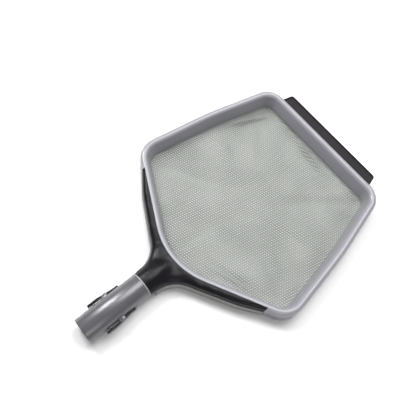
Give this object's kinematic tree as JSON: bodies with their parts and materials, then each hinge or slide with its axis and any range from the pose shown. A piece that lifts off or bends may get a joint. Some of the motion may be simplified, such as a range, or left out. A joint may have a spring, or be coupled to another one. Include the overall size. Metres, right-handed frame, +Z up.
{
  "type": "leaf skimmer net",
  "caption": "Flat pool leaf skimmer: a pentagonal tray frame with a clamped net, a flexible front blade, a black yoke and a tubular pole handle with two lock levers.",
  "frame": {"origin": "on the surface that the skimmer lies on, under the middle of its outer box", "axes": "+Z up, out of the open side of the tray; +Y from the handle towards the leading edge and its blade; +X to the right when looking along +Y"},
  "size_m": [0.3238, 0.4702, 0.037],
  "materials": {
    "frame_plastic": "satin silver grey",
    "handle_plastic": "gloss grey",
    "black_plastic": "satin black",
    "charcoal_plastic": "satin charcoal",
    "blade_rubber": "matt",
    "netting": "woven mesh",
    "pale_plastic": "satin",
    "steel": "satin"
  },
  "bodies": {
    "skimmer": {"rim_frame": "frame_plastic", "clamp_ring": "frame_plastic", "net": "netting", "front_blade": "blade_rubber", "blade_retainer": "black_plastic", "yoke_top": "black_plastic", "yoke_base": "charcoal_plastic", "handle_tube": "handle_plastic", "neck_collar": "pale_plastic", "lever_pin_right": "steel", "lever_pin_left": "steel", "lever_spring_right": "steel", "lever_spring_left": "steel", "ring_screw_1": "steel", "ring_screw_2": "steel", "ring_screw_3": "steel", "ring_screw_4": "steel", "ring_screw_5": "steel", "ring_screw_6": "steel", "ring_screw_7": "steel", "ring_screw_8": "steel", "ring_screw_9": "steel", "ring_screw_10": "steel", "ring_screw_11": "steel", "ring_screw_12": "steel", "blade_screw_1": "steel", "blade_screw_2": "steel", "blade_screw_3": "steel", "blade_screw_4": "steel", "blade_screw_5": "steel", "yoke_screw_1": "steel", "yoke_screw_2": "steel", "yoke_screw_3": "steel", "yoke_screw_4": "steel", "handle_screw_1": "steel", "handle_screw_2": "steel"},
    "lever_right": {"lever_right": "black_plastic"},
    "lever_left": {"lever_left": "black_plastic"}
  },
  "joints": [
    {"name": "lever_right_press", "type": "hinge", "parent": "skimmer", "child": "lever_right", "pos_m": [0.0198, -0.18714, 0.0185], "axis": [0, 0, -1], "range_deg": [0, 6], "stiffness_Nm_per_rad": 0.3, "springref_deg": -6.88, "deforming": ["lever_spring_right"]},
    {"name": "lever_left_press", "type": "hinge", "parent": "skimmer", "child": "lever_left", "pos_m": [-0.0198, -0.18714, 0.0185], "axis": [0, 0, 1], "range_deg": [0, 6], "stiffness_Nm_per_rad": 0.3, "springref_deg": -6.88, "deforming": ["lever_spring_left"]}
  ]
}
